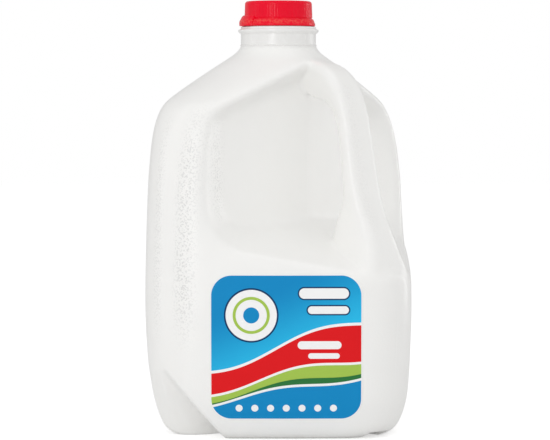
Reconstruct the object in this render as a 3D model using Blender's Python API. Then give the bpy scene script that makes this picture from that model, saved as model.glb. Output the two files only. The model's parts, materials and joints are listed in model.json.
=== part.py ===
"""A one-gallon milk jug: a blow-moulded bottle, its milk, a snap cap and a label.

Metres, +Z up. The origin is on the floor, under the neck's axis. The label
faces -Y, and the handle stands over the corner between +X and -Y.
"""
import math

import bmesh
import bpy
import numpy as np
from mathutils import Vector

# Overall sizes
HEIGHT = 0.2540
WALL = 0.0014
GAP = 0.0003

# Body: height, half width and corner radius of each level, floor to neck, then
# the share that its sides by the handle draw in, and its sides away from it
NECK_RADIUS = 0.0222
BODY_LEVELS = (
    (-0.0006, 0.0610, 0.0290, 0.000, 0.050),
    (0.0014, 0.0668, 0.0300, 0.000, 0.050),
    (0.0070, 0.0715, 0.0315, 0.000, 0.055),
    (0.0200, 0.0757, 0.0320, 0.000, 0.050),
    (0.0330, 0.0770, 0.0320, 0.000, 0.028),
    (0.0460, 0.0777, 0.0320, 0.000, 0.010),
    (0.0790, 0.0785, 0.0320, 0.000, 0.000),
    (0.1350, 0.0772, 0.0320, 0.000, 0.000),
    (0.1600, 0.0757, 0.0320, 0.008, 0.000),
    (0.1770, 0.0737, 0.0320, 0.030, 0.000),
    (0.1880, 0.0704, 0.0330, 0.040, 0.000),
    (0.1955, 0.0650, 0.0340, 0.055, 0.000),
    (0.2100, 0.0448, 0.0310, 0.040, 0.000),
    (0.2235, 0.0246, 0.0240, 0.000, 0.000),
    (0.2260, NECK_RADIUS, NECK_RADIUS, 0.000, 0.000),
    (0.2330, NECK_RADIUS, NECK_RADIUS, 0.000, 0.000),
)
HANDLE_BEARING = math.radians(-45.0)
DRAW_IN_NEAR = (math.radians(110.0), math.radians(55.0))
DRAW_IN_AWAY = (math.radians(80.0), math.radians(120.0))
SIDE_BULGE = 0.022
BODY_STEPS_BETWEEN = 4
BODY_SIDES = 128

# Hand scoops: one beside the handle on each of its two faces, mirrored
SCOOP_TURN = math.radians(37.0)
SCOOP_FLOOR = 0.0238
SCOOP_REACH = 0.0636
SCOOP_SIDE_DRAFT = 1.70
SCOOP_LEDGE = 0.1240
SCOOP_LEDGE_RISE = -0.08
SCOOP_LEDGE_FALL = 0.40
SCOOP_TOP = 0.2097
SCOOP_TOP_FALL = 0.38
SCOOP_TOP_RISE = 0.69
SCOOP_LOW_CORNER = 0.0200
SCOOP_LOW_CORNER_GROWTH = 0.6
SCOOP_HIGH_CORNER = 0.0060
SCOOP_DEPTH = 0.0800
SCOOP_OUTLINED_AT = 0.0200
SCOOP_PAST_MIDDLE = 0.0010

# Handle, along its middle: reach from the axis, height, half depth, and half
# width on its inner and on its outer side
HANDLE_PATH = (
    (0.0180, 0.2140, 0.0085, 0.0050, 0.0072),
    (0.0335, 0.2074, 0.0114, 0.0045, 0.0088),
    (0.0430, 0.2049, 0.0108, 0.0050, 0.0112),
    (0.0502, 0.1994, 0.0096, 0.0062, 0.0124),
    (0.0562, 0.1905, 0.0078, 0.0068, 0.0126),
    (0.0607, 0.1770, 0.0067, 0.0080, 0.0122),
    (0.0648, 0.1540, 0.0069, 0.0092, 0.0127),
    (0.0668, 0.1370, 0.0092, 0.0084, 0.0131),
    (0.0670, 0.1205, 0.0166, 0.0104, 0.0131),
    (0.0690, 0.1030, 0.0205, 0.0135, 0.0165),
    (0.0720, 0.0860, 0.0212, 0.0160, 0.0225),
    (0.0690, 0.0700, 0.0190, 0.0144, 0.0216),
)
HANDLE_STEPS_BETWEEN = 3
HANDLE_SIDES = 32
HANDLE_SQUARENESS_OUTSIDE = 5.0
HANDLE_SQUARENESS_INSIDE = 2.4

# Corner notches at the floor: a tip up the corner, and an outline on the floor
# that runs round the lobe behind, then along the face's end and outside it all
NOTCH_TOP = (-0.0715, -0.0700, 0.0470)
NOTCH_FLOOR = (
    (-0.0700, -0.0330),
    (-0.0640, -0.0410),
    (-0.0560, -0.0450),
    (-0.0460, -0.0455),
    (-0.0360, -0.0420),
    (-0.0280, -0.0360),
    (-0.0255, -0.0820),
    (-0.0850, -0.0900),
)
NOTCH_FLOOR_Z = -0.0050

# Slanting flats that take the same corners back, deepest at the floor
FLAT_WAY = (-0.80, -0.60)
FLAT_REACH = 0.0781
FLAT_SLOPE = 0.40
FLAT_HEIGHTS = (-0.0100, 0.0800)
FLAT_HALF_WIDTH = 0.0600
FLAT_DEPTH = 0.0500

# Underside: a shallow push-up, and a relief along the mould's parting line
PUSH_UP_HALF = 0.0400
PUSH_UP_DEPTH = 0.0030
PUSH_UP_CORNER = 0.0160
PUSH_UP_FLARE = ((-0.0100, 0.0060), (0.0, 0.0040), (PUSH_UP_DEPTH, 0.0))
PUSH_UP_SIDES = 32
RELIEF_WIDTH = 0.0160
RELIEF_REACH = 0.1100
RELIEF_DEPTH = 0.0035
INNER_FLOOR = PUSH_UP_DEPTH + WALL + 0.0008
FAR = 0.1000

# Neck, a thin ring round its foot, and its snap-on finish with a collar and a
# bead below
NECK_SKIN = 0.0002
NECK_BURIED = 0.2200
NECK_RING = (0.2268, 0.2276, 0.2282)
NECK_RING_OUT = 0.0006
BEAD_RADIUS = 0.0240
BEAD_LOW = 0.2351
BEAD_HIGH = 0.2376
BEAD_EDGE = 0.0007
COLLAR_RADIUS = 0.0225
COLLAR_HIGH = 0.2387
COLLAR_EDGE = 0.0003
FINISH_RADIUS = 0.0190
FINISH_TOP = 0.2515
BORE_RADIUS = 0.0172
BORE_LOW = 0.2240
BORE_HIGH = 0.2600

# Milk
MILK_LEVEL = 0.2262
MILK_GAP = 0.0004

# Cap: a slightly drafted drum, then the flared tear band with its pull tab
CAP_RADIUS = 0.0203
CAP_DRAFT = 0.0003
CAP_EDGE = 0.0018
CAP_EDGE_STEPS = 3
CAP_BREAK = 0.0104
CAP_HEIGHT = 0.0150
CAP_INSIDE = 0.0194
CAP_CEILING = 0.0020
BAND_RADIUS = 0.0220
BAND_STEP = (0.0007, 0.0007)
BAND_RIM = 0.0014
BAND_THICK = 0.0010
TAB_TURN = math.radians(203.0)
TAB_SPREAD = math.radians(46.0)
TAB_HEIGHT = 0.0064
TAB_UPRIGHT = 0.0026
TAB_THICK = 0.0016
TAB_STEPS = 6
TAB_END_FADE = 0.4

# Label on the front face
LABEL_WIDTH = 0.0866
LABEL_HEIGHT = 0.0834
LABEL_CORNER = 0.0120
LABEL_MIDDLE = (0.0045, 0.0542)
LABEL_THICK = 0.0002
LABEL_GAP = 0.0004
LABEL_COLUMNS = 12
LABEL_ROWS = 14

# Mesh sizes
VOXEL = 0.0021
BODY_SOFTENING = 22
SOFTENING = 6
BOTTLE_SHARE = 0.062
MILK_SHARE = 0.030
ROUND_STEPS = 44


def clear_scene():
    """Remove everything that the file opened with."""
    for item in list(bpy.data.objects):
        bpy.data.objects.remove(item, do_unlink=True)


def add_object(name, bm, smooth=True):
    """Make an object of a bmesh and link it to the scene."""
    mesh = bpy.data.meshes.new(name)
    bmesh.ops.recalc_face_normals(bm, faces=bm.faces)
    bm.to_mesh(mesh)
    bm.free()
    if smooth:
        mesh.shade_smooth()
    item = bpy.data.objects.new(name, mesh)
    bpy.context.collection.objects.link(item)
    return item


def hide_helper(item):
    """A cutter or a guide shows as wire and isn't part of the jug."""
    item.hide_render = True
    item.display_type = "WIRE"
    return item


def material(name, colour, roughness, metallic=0.0):
    """A plain Principled material."""
    made = bpy.data.materials.new(name)
    made.use_nodes = True
    shader = made.node_tree.nodes["Principled BSDF"]
    shader.inputs["Base Color"].default_value = (*colour, 1.0)
    shader.inputs["Roughness"].default_value = roughness
    shader.inputs["Metallic"].default_value = metallic
    return made


def smooth_rows(rows, between):
    """Points on a smooth curve through the rows, with some between each two."""
    rows = np.array(rows, dtype=float)
    ends = np.vstack((2 * rows[0] - rows[1], rows, 2 * rows[-1] - rows[-2]))
    made = []
    for i in range(len(rows) - 1):
        p0, p1, p2, p3 = ends[i:i + 4]
        for step in range(between):
            t = step / between
            made.append(0.5 * (2 * p1 + (p2 - p0) * t
                               + (2 * p0 - 5 * p1 + 4 * p2 - p3) * t ** 2
                               + (3 * p1 - p0 - 3 * p2 + p3) * t ** 3))
    made.append(rows[-1])
    return made


def loft(bm, rings):
    """Skin rings of points that all have the same count, and close both ends."""
    loops = [[bm.verts.new(point) for point in ring] for ring in rings]
    count = len(loops[0])
    for low, high in zip(loops, loops[1:]):
        for i in range(count):
            j = (i + 1) % count
            bm.faces.new((low[i], low[j], high[j], high[i]))
    bm.faces.new(list(reversed(loops[0])))
    bm.faces.new(loops[-1])


def side_distance(angle, half, corner):
    """How far a rounded square reaches from its middle at an angle."""
    c, s = abs(math.cos(angle)), abs(math.sin(angle))
    straight = half - corner
    if max(c, s) * straight >= min(c, s) * half:
        reach = half / max(c, s)
    else:
        reach = straight * (c + s) + math.sqrt(corner ** 2 - (straight * (c - s)) ** 2)
    return reach * (1.0 - SIDE_BULGE * math.sin(2 * angle) ** 2 * straight / half)


def eased(value, start, end):
    """A smooth rise from 0 at the start to 1 at the end."""
    t = min(1.0, max(0.0, (value - start) / (end - start)))
    return t * t * (3 - 2 * t)


def body_mesh():
    """The square body, its shoulder and the foot of its neck, as one loft."""
    rings = []
    for z, half, corner, near, away in smooth_rows(BODY_LEVELS, BODY_STEPS_BETWEEN):
        ring = []
        for i in range(BODY_SIDES):
            angle = 2 * math.pi * i / BODY_SIDES
            off = math.acos(math.cos(angle - HANDLE_BEARING))
            reach = side_distance(angle, half, min(corner, half))
            reach *= 1.0 - near * eased(off, *DRAW_IN_NEAR) - away * eased(off, *DRAW_IN_AWAY)
            ring.append((reach * math.cos(angle), reach * math.sin(angle), z))
        rings.append(ring)
    bm = bmesh.new()
    loft(bm, rings)
    return bm


def mirrored(point):
    """The same point on the other side of the mould's parting plane."""
    return Vector((-point[1], -point[0], point[2]))


def scoop_point(along, out, z):
    """A place by the scoop's floor: along it from the handle, and out of it."""
    floor_way = Vector((-math.cos(SCOOP_TURN), -math.sin(SCOOP_TURN), 0.0))
    out_way = Vector((math.sin(SCOOP_TURN), -math.cos(SCOOP_TURN), 0.0))
    corner = SCOOP_FLOOR / (math.sin(SCOOP_TURN) + math.cos(SCOOP_TURN))
    foot = Vector((corner, -corner, 0.0))
    return foot + floor_way * along + out_way * out + Vector((0.0, 0.0, z))


def rounded_corner(before, corner, after, radius, steps):
    """Points of an arc that rounds one corner of an outline."""
    before, corner, after = Vector(before), Vector(corner), Vector(after)
    back = (before - corner).normalized()
    ahead = (after - corner).normalized()
    cut = radius / math.tan(back.angle(ahead) / 2)
    start, end = corner + back * cut, corner + ahead * cut
    middle = corner + (back + ahead).normalized() * (radius / math.sin(back.angle(ahead) / 2))
    arc = []
    for i in range(steps + 1):
        mixed = start.lerp(end, i / steps) - middle
        arc.append(middle + mixed.normalized() * radius)
    return arc


def scoop_outline(out):
    """The scoop's outline at a distance out of its floor, as (along, height)."""
    past = -SCOOP_PAST_MIDDLE * 2 - out * math.tan(math.pi / 4 - SCOOP_TURN)
    reach = SCOOP_REACH + SCOOP_SIDE_DRAFT * out

    def ledge(along):
        return SCOOP_LEDGE + SCOOP_LEDGE_RISE * along - SCOOP_LEDGE_FALL * out

    def top(along):
        return SCOOP_TOP - SCOOP_TOP_FALL * along + SCOOP_TOP_RISE * out

    low_in, low_out = (past, ledge(past)), (reach, ledge(reach))
    high_out, high_in = (reach, top(reach)), (past, top(past))
    outline = [Vector(low_in)]
    low_corner = SCOOP_LOW_CORNER + SCOOP_LOW_CORNER_GROWTH * out
    outline += rounded_corner(low_in, low_out, high_out, low_corner, 6)
    outline += rounded_corner(low_out, high_out, high_in, SCOOP_HIGH_CORNER, 3)
    outline.append(Vector(high_in))
    return outline


def scoop_cutter(name, flip):
    """What one scoop takes away: a drafted pocket that widens outwards."""
    rings = []
    for out in (0.0, SCOOP_OUTLINED_AT):
        points = [scoop_point(along, out, z) for along, z in scoop_outline(out)]
        rings.append([mirrored(p) for p in points] if flip else points)
    far = [near + (end - near) * (SCOOP_DEPTH / SCOOP_OUTLINED_AT) for near, end in zip(*rings)]
    bm = bmesh.new()
    loft(bm, (rings[0], far))
    return hide_helper(add_object(name, bm, smooth=False))


def handle_mesh():
    """The hand grip: rounded rings along a path in the parting plane."""
    out_way = Vector((math.sqrt(0.5), -math.sqrt(0.5), 0.0))
    side_way = Vector((math.sqrt(0.5), math.sqrt(0.5), 0.0))
    rows = smooth_rows(HANDLE_PATH, HANDLE_STEPS_BETWEEN)
    middles = [out_way * reach + Vector((0.0, 0.0, z)) for reach, z, _, _, _ in rows]
    rings = []
    for i, (_, _, depth, inner, outer) in enumerate(rows):
        ahead = middles[min(i + 1, len(rows) - 1)] - middles[max(i - 1, 0)]
        depth_way = ahead.normalized().cross(side_way)
        ring = []
        for k in range(HANDLE_SIDES):
            angle = 2 * math.pi * k / HANDLE_SIDES
            c, s = math.cos(angle), math.sin(angle)
            power = HANDLE_SQUARENESS_OUTSIDE if c > 0 else HANDLE_SQUARENESS_INSIDE
            scale = (abs(c) ** power + abs(s) ** power) ** (-1 / power)
            width = (inner + outer + (outer - inner) * c) / 2
            ring.append(middles[i] + (depth_way * depth * c + side_way * width * s) * scale)
        rings.append(ring)
    bm = bmesh.new()
    loft(bm, rings)
    return bm


def notch_cutter(name, flip):
    """A many-sided wedge at the foot of a corner, with its tip up the corner."""
    tip = Vector(NOTCH_TOP)
    floor = [Vector((x, y, NOTCH_FLOOR_Z)) for x, y in NOTCH_FLOOR]
    if flip:
        tip, floor = mirrored(tip), [mirrored(p) for p in floor]
    bm = bmesh.new()
    top = bm.verts.new(tip)
    foot = [bm.verts.new(p) for p in floor]
    for this, following in zip(foot, foot[1:] + foot[:1]):
        bm.faces.new((top, this, following))
    bm.faces.new(foot)
    return hide_helper(add_object(name, bm, smooth=False))


def flat_cutter(name, flip):
    """What a slanting flat takes off the foot of a corner."""
    out = Vector((*FLAT_WAY, 0.0))
    along = Vector((-FLAT_WAY[1], FLAT_WAY[0], 0.0))
    low, high = FLAT_HEIGHTS
    rings = []
    for extra in (0.0, FLAT_DEPTH):
        ring = []
        for z, side in ((low, -1), (low, 1), (high, 1), (high, -1)):
            point = out * (FLAT_REACH + FLAT_SLOPE * z + extra) + along * side * FLAT_HALF_WIDTH
            point.z = z
            ring.append(mirrored(point) if flip else point)
        rings.append(ring)
    bm = bmesh.new()
    loft(bm, rings)
    return hide_helper(add_object(name, bm, smooth=False))


def box_cutter(name, low, high, turn=0.0):
    """A plain block between two corners, turned about the jug's axis."""
    bm = bmesh.new()
    bmesh.ops.create_cube(bm, size=1.0)
    low, high = Vector(low), Vector(high)
    for vert in bm.verts:
        vert.co = low + (vert.co + Vector((0.5, 0.5, 0.5))) * (high - low)
    item = add_object(name, bm, smooth=False)
    item.rotation_euler.z = turn
    return hide_helper(item)


def push_up_cutter():
    """The shallow dish under the bottle, with sloping sides."""
    rings = []
    for z, flare in PUSH_UP_FLARE:
        ring = []
        for i in range(PUSH_UP_SIDES):
            angle = 2 * math.pi * i / PUSH_UP_SIDES
            reach = side_distance(angle, PUSH_UP_HALF + flare, PUSH_UP_CORNER)
            ring.append((reach * math.cos(angle), reach * math.sin(angle), z))
        rings.append(ring)
    bm = bmesh.new()
    loft(bm, rings)
    return hide_helper(add_object("push_up", bm, smooth=False))


def turned(name, profile, steps=ROUND_STEPS):
    """A turned piece: its half outline, from the axis down its outer side and back."""
    bm = bmesh.new()
    verts = [bm.verts.new((radius, 0.0, z)) for radius, z in profile]
    for upper, lower in zip(verts, verts[1:]):
        bm.edges.new((upper, lower))
    mesh = bpy.data.meshes.new(name)
    bm.to_mesh(mesh)
    bm.free()
    item = bpy.data.objects.new(name, mesh)
    bpy.context.collection.objects.link(item)
    screw = item.modifiers.new("turn", "SCREW")
    screw.steps = steps
    screw.render_steps = steps
    screw.use_merge_vertices = True
    screw.merge_threshold = 0.00001
    screw.use_smooth_shade = True
    return item


def boolean(item, operation, other):
    """Add, subtract or keep what another object covers."""
    step = item.modifiers.new(f"{operation.lower()} {other.name}", "BOOLEAN")
    step.operation = operation
    step.object = other
    step.solver = "EXACT"


def add_skin(item):
    """Cover the whole form in one even skin of quads."""
    skin = item.modifiers.new("even skin", "REMESH")
    skin.mode = "VOXEL"
    skin.voxel_size = VOXEL
    skin.use_smooth_shade = True


def move_skin(item, distance):
    """Move the skin out along its normals, or in where the distance is negative."""
    shift = item.modifiers.new("offset", "DISPLACE")
    shift.direction = "NORMAL"
    shift.mid_level = 0.0
    shift.strength = distance


def soften(item, times):
    """Round every edge of the skin, more widely the more times."""
    rounding = item.modifiers.new("moulded edges", "SMOOTH")
    rounding.factor = 0.5
    rounding.iterations = times


def moulded_form(name, forms, share, inset=0.0):
    """The jug's whole outer form, softened as moulded, then drawn inwards by an inset."""
    item = add_object(name, body_mesh())
    for cutter in forms["scoops"]:
        boolean(item, "DIFFERENCE", cutter)
    add_skin(item)
    soften(item, BODY_SOFTENING)
    for cutter in forms["corners"]:
        boolean(item, "DIFFERENCE", cutter)
    boolean(item, "UNION", forms["handle"])
    add_skin(item)
    soften(item, SOFTENING)
    if inset > 0.0:
        move_skin(item, -inset)
        add_skin(item)
    fewer = item.modifiers.new("fewer faces", "DECIMATE")
    fewer.ratio = share
    fewer.use_collapse_triangulate = True
    return item


def make_neck():
    """Neck column, bead, collar and plain finish, standing in the shoulder."""
    column = NECK_RADIUS + NECK_SKIN
    ring_low, ring_middle, ring_high = NECK_RING
    profile = [
        (0.0, FINISH_TOP),
        (FINISH_RADIUS - BEAD_EDGE, FINISH_TOP),
        (FINISH_RADIUS, FINISH_TOP - BEAD_EDGE),
        (FINISH_RADIUS, COLLAR_HIGH),
        (COLLAR_RADIUS - COLLAR_EDGE, COLLAR_HIGH),
        (COLLAR_RADIUS, COLLAR_HIGH - COLLAR_EDGE),
        (COLLAR_RADIUS, BEAD_HIGH),
        (BEAD_RADIUS, BEAD_HIGH - BEAD_EDGE),
        (BEAD_RADIUS, BEAD_LOW + BEAD_EDGE),
        (column, BEAD_LOW - BEAD_EDGE),
        (column, ring_high),
        (column + NECK_RING_OUT, ring_middle),
        (column, ring_low),
        (NECK_RADIUS - WALL / 2, NECK_BURIED),
        (0.0, NECK_BURIED),
    ]
    return hide_helper(turned("neck_form", profile))


def make_bottle(forms):
    """The blow-moulded bottle: hollow, open at the mouth, with its handle."""
    bottle = moulded_form("jug_bottle", forms, BOTTLE_SHARE)
    boolean(bottle, "DIFFERENCE", forms["floor"])
    boolean(bottle, "DIFFERENCE", forms["relief"])
    boolean(bottle, "DIFFERENCE", forms["push_up"])
    boolean(bottle, "UNION", make_neck())
    boolean(bottle, "DIFFERENCE", forms["cavity"])
    bore = turned("neck_bore", [(0.0, BORE_HIGH), (BORE_RADIUS, BORE_HIGH), (BORE_RADIUS, BORE_LOW),
                                (0.0, BORE_LOW)])
    boolean(bottle, "DIFFERENCE", hide_helper(bore))
    bottle.data.materials.append(material("hdpe", (0.80, 0.80, 0.79), 0.38))
    return bottle


def make_milk(forms):
    """The milk, a gap clear of the wall, up to its level in the foot of the neck."""
    milk = moulded_form("milk", forms, MILK_SHARE, WALL + MILK_GAP)
    boolean(milk, "DIFFERENCE", forms["above_level"])
    boolean(milk, "DIFFERENCE", forms["milk_floor"])
    milk.data.materials.append(material("milk", (0.90, 0.89, 0.85), 0.30))
    return milk


def make_cap():
    """The snap cap: a thin drum over a flared tear band, with a pull tab."""
    bottom = HEIGHT - CAP_HEIGHT
    band_top = HEIGHT - CAP_BREAK
    edge = []
    for i in range(CAP_EDGE_STEPS + 1):
        angle = math.pi / 2 * (1 - i / CAP_EDGE_STEPS)
        edge.append((CAP_RADIUS - CAP_DRAFT - CAP_EDGE + CAP_EDGE * math.cos(angle),
                     HEIGHT - CAP_EDGE + CAP_EDGE * math.sin(angle)))
    profile = [(0.0, HEIGHT)] + edge + [
        (CAP_RADIUS, band_top),
        (CAP_RADIUS + BAND_STEP[0], band_top - BAND_STEP[1]),
        (BAND_RADIUS, bottom + BAND_RIM),
        (BAND_RADIUS, bottom),
        (BAND_RADIUS - BAND_THICK, bottom),
        (BAND_RADIUS - BAND_THICK, bottom + BAND_RIM),
        (CAP_INSIDE, band_top - BAND_THICK),
        (CAP_INSIDE, HEIGHT - CAP_CEILING),
        (0.0, HEIGHT - CAP_CEILING),
    ]
    cap = turned("cap", profile)
    boolean(cap, "UNION", make_pull_tab(bottom, band_top))
    cap.data.materials.append(material("cap_red", (0.80, 0.02, 0.03), 0.35))
    return cap


def make_pull_tab(bottom, band_top):
    """The tab that starts the tear band: a thicker stretch of it."""
    foot, head = bottom + BAND_THICK / 10, bottom + TAB_HEIGHT
    in_drum = CAP_RADIUS - BAND_THICK / 2
    rings = []
    for i in range(TAB_STEPS + 1):
        angle = TAB_TURN + TAB_SPREAD * (i / TAB_STEPS - 0.5)
        fade = 1.0 if 0 < i < TAB_STEPS else TAB_END_FADE
        outer = BAND_RADIUS + TAB_THICK * fade
        profile = (
            (BAND_RADIUS - BAND_THICK / 4, foot),
            (outer, foot),
            (outer, foot + TAB_UPRIGHT),
            (outer - TAB_THICK, head - BAND_STEP[1]),
            (outer - TAB_THICK - BAND_STEP[0], head),
            (in_drum, head),
            (in_drum, band_top - BAND_STEP[1]),
        )
        rings.append([(radius * math.cos(angle), radius * math.sin(angle), z) for radius, z in profile])
    bm = bmesh.new()
    loft(bm, rings)
    return hide_helper(add_object("pull_tab", bm, smooth=False))


def make_label(bottle):
    """A thin rounded sheet that lies on the front face, following its crown."""
    half_width, half_height = LABEL_WIDTH / 2, LABEL_HEIGHT / 2
    bm = bmesh.new()
    grid = []
    for j in range(LABEL_ROWS + 1):
        up = -math.cos(math.pi * j / LABEL_ROWS) * half_height
        into_corner = max(0.0, abs(up) - (half_height - LABEL_CORNER))
        reach = half_width - LABEL_CORNER + math.sqrt(LABEL_CORNER ** 2 - into_corner ** 2)
        line = []
        for i in range(LABEL_COLUMNS + 1):
            across = (2 * i / LABEL_COLUMNS - 1) * reach
            line.append(bm.verts.new((LABEL_MIDDLE[0] + across, -FAR, LABEL_MIDDLE[1] + up)))
        grid.append(line)
    for low, high in zip(grid, grid[1:]):
        for i in range(LABEL_COLUMNS):
            bm.faces.new((low[i], low[i + 1], high[i + 1], high[i]))
    label = add_object("label", bm)
    wrap = label.modifiers.new("lie on face", "SHRINKWRAP")
    wrap.target = bottle
    wrap.wrap_method = "PROJECT"
    wrap.use_project_y = True
    wrap.use_positive_direction = True
    wrap.use_negative_direction = False
    wrap.offset = LABEL_GAP
    wrap.wrap_mode = "ABOVE_SURFACE"
    sheet = label.modifiers.new("sheet", "SOLIDIFY")
    sheet.thickness = LABEL_THICK
    sheet.offset = 1.0
    label.data.materials.append(material("label_film", (0.62, 0.70, 0.80), 0.35))
    return label


def make_forms():
    """Everything that shapes the bottle and the milk without being part of them."""
    forms = {"scoops": [], "corners": []}
    for side, flip in (("front", False), ("right", True)):
        forms["scoops"].append(scoop_cutter(f"scoop_{side}", flip))
        forms["corners"].append(flat_cutter(f"flat_{side}", flip))
        forms["corners"].append(notch_cutter(f"notch_{side}", flip))
    forms["handle"] = hide_helper(add_object("handle_form", handle_mesh()))
    forms["floor"] = box_cutter("floor_cut", (-FAR, -FAR, -FAR), (FAR, FAR, 0.0))
    forms["push_up"] = push_up_cutter()
    forms["relief"] = box_cutter("parting_relief", (-RELIEF_REACH, -RELIEF_WIDTH / 2, -FAR),
                                 (RELIEF_REACH, RELIEF_WIDTH / 2, RELIEF_DEPTH), HANDLE_BEARING)
    forms["inner_floor"] = box_cutter("inner_floor", (-FAR, -FAR, -FAR), (FAR, FAR, INNER_FLOOR))
    forms["milk_floor"] = box_cutter("milk_floor", (-FAR, -FAR, -FAR), (FAR, FAR, INNER_FLOOR + GAP))
    forms["above_level"] = box_cutter("above_level", (-FAR, -FAR, MILK_LEVEL), (FAR, FAR, HEIGHT))
    cavity = moulded_form("cavity_form", forms, MILK_SHARE, WALL + MILK_GAP)
    move_skin(cavity, MILK_GAP)
    boolean(cavity, "DIFFERENCE", forms["inner_floor"])
    forms["cavity"] = hide_helper(cavity)
    return forms


def build_jug():
    clear_scene()
    forms = make_forms()
    bottle = make_bottle(forms)
    make_milk(forms)
    make_cap()
    make_label(bottle)


build_jug()
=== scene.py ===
# %% [markdown]
# # A one-gallon milk jug, shut and full
# The real jug is one skin of pale plastic. A soft tube hangs between two mould
# halves and is blown out against them, so every edge comes out round and a fine
# line runs where the halves met. This lesson draws a finer skin over a plain CAD
# model of the jug. That model stays as it is, and each new piece stands for one
# of its nodes.

import json
import math

import bmesh
import bpy
import numpy as np
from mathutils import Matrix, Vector

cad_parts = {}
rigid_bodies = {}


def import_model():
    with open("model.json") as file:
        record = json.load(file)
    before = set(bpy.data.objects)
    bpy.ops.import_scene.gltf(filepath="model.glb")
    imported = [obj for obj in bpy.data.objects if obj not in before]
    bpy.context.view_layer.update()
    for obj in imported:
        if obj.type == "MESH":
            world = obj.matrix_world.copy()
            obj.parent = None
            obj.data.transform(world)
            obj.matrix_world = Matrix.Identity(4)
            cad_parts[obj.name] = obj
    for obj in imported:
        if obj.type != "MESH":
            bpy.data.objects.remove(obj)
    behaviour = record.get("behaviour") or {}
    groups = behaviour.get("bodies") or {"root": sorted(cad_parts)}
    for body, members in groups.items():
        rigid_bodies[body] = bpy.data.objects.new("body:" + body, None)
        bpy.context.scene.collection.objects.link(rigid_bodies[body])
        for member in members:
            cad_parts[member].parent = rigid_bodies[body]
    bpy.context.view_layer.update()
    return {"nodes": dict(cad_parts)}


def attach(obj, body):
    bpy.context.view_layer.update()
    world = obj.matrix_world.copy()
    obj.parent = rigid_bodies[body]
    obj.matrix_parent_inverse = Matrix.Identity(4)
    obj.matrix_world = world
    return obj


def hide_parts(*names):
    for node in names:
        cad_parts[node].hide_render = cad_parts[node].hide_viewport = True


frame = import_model()
print("CAD nodes:", sorted(frame["nodes"]))

# %% [markdown]
# ## Two habits for work by hand
# An operator acts on everything that is selected, so a piece is taken up alone
# before each step. A modifier could stay live, but a form that is cut and
# softened several times is easier to follow when each step is applied at once.


# %% Take up one piece, and apply one modifier
def put_down_all():
    """Select nothing."""
    bpy.ops.object.select_all(action="DESELECT")


def take_up(piece):
    """Select one piece alone and make it the active one."""
    put_down_all()
    piece.select_set(True)
    bpy.context.view_layer.objects.active = piece


def apply_step(piece, kind, **settings):
    """Put one modifier on a piece, set it and apply it."""
    take_up(piece)
    step = piece.modifiers.new(kind.lower(), kind)
    for name, value in settings.items():
        setattr(step, name, value)
    bpy.ops.object.modifier_apply(modifier=step.name)
    return piece


def combine(piece, operation, other):
    """Add, subtract or keep another form's volume, and put that form away."""
    apply_step(piece, "BOOLEAN", operation=operation, object=other, solver="MANIFOLD")
    bpy.data.objects.remove(other, do_unlink=True)
    return piece


def same_again(piece, name):
    """A second piece with a mesh of its own."""
    twin = piece.copy()
    twin.data = piece.data.copy()
    twin.name = name
    bpy.context.collection.objects.link(twin)
    return twin


put_down_all()

# %% [markdown]
# ## One way to draw every form
# A bottle could be a cube that is cut and subdivided, but its corners change
# their radius all the way up. Here a filled circle is added, and its face is
# extruded again and again. Each new ring is put on the outline that the form has
# at that level. A whole-number layer on the points remembers each one's place
# round the ring, because extruding copies it.


# %% Draw a closed form ring by ring
def draw_rings(name, rings):
    """Extrude a filled circle through rings of points that all have one count."""
    put_down_all()
    bpy.ops.mesh.primitive_circle_add(vertices=len(rings[0]), fill_type="NGON")
    piece = bpy.context.object
    piece.name = name
    bpy.ops.object.mode_set(mode="EDIT")
    points = bmesh.from_edit_mesh(piece.data)
    place = points.verts.layers.int.new("place")
    for i, vert in enumerate(points.verts):
        vert[place] = i
        vert.co = rings[0][i]
    bmesh.update_edit_mesh(piece.data)
    for ring in rings[1:]:
        bpy.ops.mesh.extrude_region_move()
        points = bmesh.from_edit_mesh(piece.data)
        place = points.verts.layers.int["place"]
        for vert in points.verts:
            if vert.select:
                vert.co = ring[vert[place]]
        bmesh.update_edit_mesh(piece.data)
    bpy.ops.mesh.select_all(action="SELECT")
    bpy.ops.mesh.normals_make_consistent(inside=False)
    bpy.ops.object.mode_set(mode="OBJECT")
    return piece


def round_rings(profile, sides):
    """Rings of a turned form from its (radius, height) rows."""
    turns = [2 * math.pi * i / sides for i in range(sides)]
    return [[(r * math.cos(a), r * math.sin(a), z) for a in turns] for r, z in profile]


def smooth_rows(rows, between):
    """Points on a smooth curve through the rows, with some between each two."""
    rows = np.array(rows, dtype=float)
    ends = np.vstack((2 * rows[0] - rows[1], rows, 2 * rows[-1] - rows[-2]))
    made = []
    for i in range(len(rows) - 1):
        p0, p1, p2, p3 = ends[i:i + 4]
        for step in range(between):
            t = step / between
            made.append(0.5 * (2 * p1 + (p2 - p0) * t
                               + (2 * p0 - 5 * p1 + 4 * p2 - p3) * t ** 2
                               + (3 * p1 - p0 - 3 * p2 + p3) * t ** 3))
    made.append(rows[-1])
    return made


# %% [markdown]
# ## The body
# A milk jug is a square with very round corners and sides that bulge a little.
# It narrows at the foot, and over the shoulder it draws in to a round neck. Each
# row below is one level of it: its height, half its width, its corner radius, and
# how much the two sides beside the handle and the two away from it draw in.

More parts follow.
